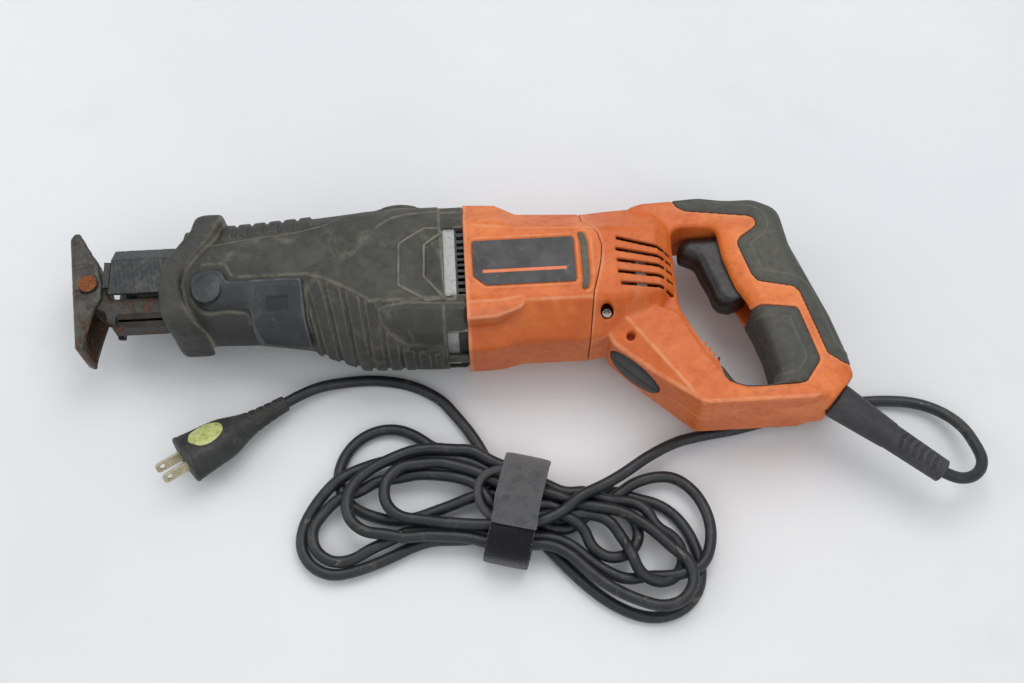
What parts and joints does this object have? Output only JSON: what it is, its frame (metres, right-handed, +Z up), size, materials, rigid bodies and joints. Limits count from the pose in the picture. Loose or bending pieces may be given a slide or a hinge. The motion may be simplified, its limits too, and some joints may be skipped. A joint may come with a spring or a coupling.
{
  "type": "reciprocating saw",
  "caption": "Corded reciprocating saw lying on its side: pivoting steel shoe, rubber-booted gear case, orange motor housing, D-handle with trigger, tied power cord with plug.",
  "frame": {"origin": "centre of the saw's bounding box without its cord, on the surface it lies on", "axes": "+X from the blade shoe to the rear handle, +Y towards the tool's upper side as held, +Z up from the surface it lies on"},
  "size_m": [0.5668, 0.2633, 0.076],
  "materials": {
    "orange_plastic": "faded orange moulded plastic with scuffs and dirt",
    "olive_rubber": "dark olive-grey moulded rubber with dust",
    "grip_rubber": "grey-green soft grip rubber",
    "black_plastic": "black moulded plastic",
    "lever_plastic": "blue-grey moulded plastic",
    "black_rubber": "black rubber",
    "cord_rubber": "black cord jacket",
    "cast_aluminium": "die-cast",
    "rusty_steel": "worn, rusted",
    "black_steel": "blackened sheet steel",
    "steel": "machined",
    "lamination_steel": "stacked laminations",
    "copper": "enamelled copper wire",
    "carbon": "pressed carbon",
    "brass": "satin",
    "label": "printed label, blank",
    "strap_fabric": "hook-and-loop tape",
    "lens_plastic": "pale yellow-green plastic",
    "orange_accent": "moulded",
    "bronze": "oil-filled bearing bronze"
  },
  "bodies": {
    "housing": {"blade_guard": "black_steel", "gear_case": "cast_aluminium", "gear_case_cover": "cast_aluminium", "gear_case_screws": "steel", "housing_screws": "steel", "vent_baffle": "black_plastic", "nose_boot": "olive_rubber", "lever_pin": "steel", "motor_housing": "orange_plastic", "nameplates": "label", "side_strips": "grip_rubber", "handle_shell_left": "orange_plastic", "handle_shell_right": "orange_plastic", "rear_grip_left": "grip_rubber", "rear_grip_right": "grip_rubber", "front_grip_left": "grip_rubber", "front_grip_right": "grip_rubber", "handle_screws": "steel", "bumper_pad": "black_rubber", "trigger_spring": "steel", "switch_body": "black_plastic", "field_stator": "lamination_steel", "field_coils": "copper", "front_bearing": "steel", "rear_bearing": "steel", "bearing_bracket": "black_plastic", "brush_holders": "brass", "carbon_brushes": "carbon", "crank_bearing": "steel", "front_bushing": "bronze", "rear_bushing": "bronze", "plunger_seal": "black_rubber", "strain_relief": "black_rubber", "cord_lead": "cord_rubber", "cord_tail": "cord_rubber", "cord_strap": "strap_fabric", "cord_hank": "cord_rubber", "plug_body": "black_rubber", "plug_blades": "brass", "plug_lens": "lens_plastic"},
    "post": {"shoe_post": "rusty_steel", "shoe_rivets": "rusty_steel"},
    "shoe": {"shoe": "rusty_steel"},
    "release_lever": {"release_lever": "lever_plastic"},
    "dial": {"orbital_dial": "black_plastic", "orbital_pointer": "orange_accent"},
    "trigger": {"trigger": "black_plastic"},
    "armature": {"armature_shaft": "steel", "armature_core": "lamination_steel", "armature_windings": "copper", "commutator": "copper", "cooling_fan": "black_plastic"},
    "crank": {"crank_gear": "steel", "gear_spindle": "steel"},
    "plunger": {"plunger": "steel", "clamp_sleeve": "steel"},
    "clamp_collar": {"clamp_collar": "black_steel"}
  },
  "joints": [
    {"name": "post_slide", "type": "slide", "parent": "housing", "child": "post", "axis": [-1, 0, 0], "range_m": [0, 0.03]},
    {"name": "shoe_pivot", "type": "hinge", "parent": "post", "child": "shoe", "pos_m": [-0.2205, 0.0277, 0.038], "axis": [0, 0, 1], "range_deg": [-20, 24]},
    {"name": "release_lever_turn", "type": "hinge", "parent": "housing", "child": "release_lever", "pos_m": [-0.146, 0.014, 0.066], "axis": [0, 0, -1], "range_deg": [0, 40]},
    {"name": "orbital_dial_turn", "type": "hinge", "parent": "housing", "child": "dial", "pos_m": [-0.031, 0.065, 0.038], "axis": [0, 1, 0], "range_deg": [-90, 0]},
    {"name": "trigger_pull", "type": "slide", "parent": "housing", "child": "trigger", "axis": [1, 0, 0], "range_m": [0, 0.007], "stiffness_N_per_m": 700, "springref_m": -0.008, "deforming": ["trigger_spring"]},
    {"name": "armature_spin", "type": "hinge", "parent": "housing", "child": "armature", "pos_m": [0.05, 0.018, 0.038], "axis": [1, 0, 0], "continuous": true},
    {"name": "crank_spin", "type": "hinge", "parent": "housing", "child": "crank", "pos_m": [-0.062, 0.018, 0.026], "axis": [0, 0, 1], "continuous": true},
    {"name": "plunger_slide", "type": "slide", "parent": "housing", "child": "plunger", "axis": [1, 0, 0], "range_m": [-0.0143, 0.0143]},
    {"name": "clamp_collar_turn", "type": "hinge", "parent": "plunger", "child": "clamp_collar", "pos_m": [-0.185, 0.033, 0.038], "axis": [1, 0, 0], "range_deg": [0, 60], "stiffness_Nm_per_rad": 0.02, "springref_deg": -17.19}
  ],
  "couplings": [
    {"joint": "crank_spin", "follows": "armature_spin", "ratio": 0.2}
  ]
}
